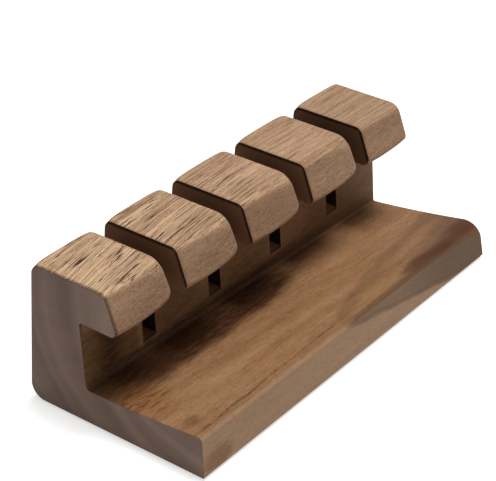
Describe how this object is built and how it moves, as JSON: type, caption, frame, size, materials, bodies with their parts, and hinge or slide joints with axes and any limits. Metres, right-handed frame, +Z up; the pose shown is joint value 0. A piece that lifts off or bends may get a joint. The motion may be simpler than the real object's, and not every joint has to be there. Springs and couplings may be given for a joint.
{
  "type": "cable clip holder",
  "caption": "Free-standing desk block that keeps charging-cable ends in slots cut through a hooked jaw, above a shallow open tray.",
  "frame": {"origin": "under the middle of the block, on the surface that its pads stand on", "axes": "+X along the block to the right as seen from the front, +Y to the back wall, +Z up"},
  "size_m": [0.13, 0.0568, 0.0417],
  "materials": {
    "walnut": "milled and sanded walnut with a thin matt oil finish",
    "pad_rubber": "matt black rubber"
  },
  "bodies": {
    "root": {"walnut_body": "walnut", "pad_rear_left": "pad_rubber", "pad_rear_right": "pad_rubber", "pad_front_left": "pad_rubber", "pad_front_right": "pad_rubber"}
  },
  "joints": []
}
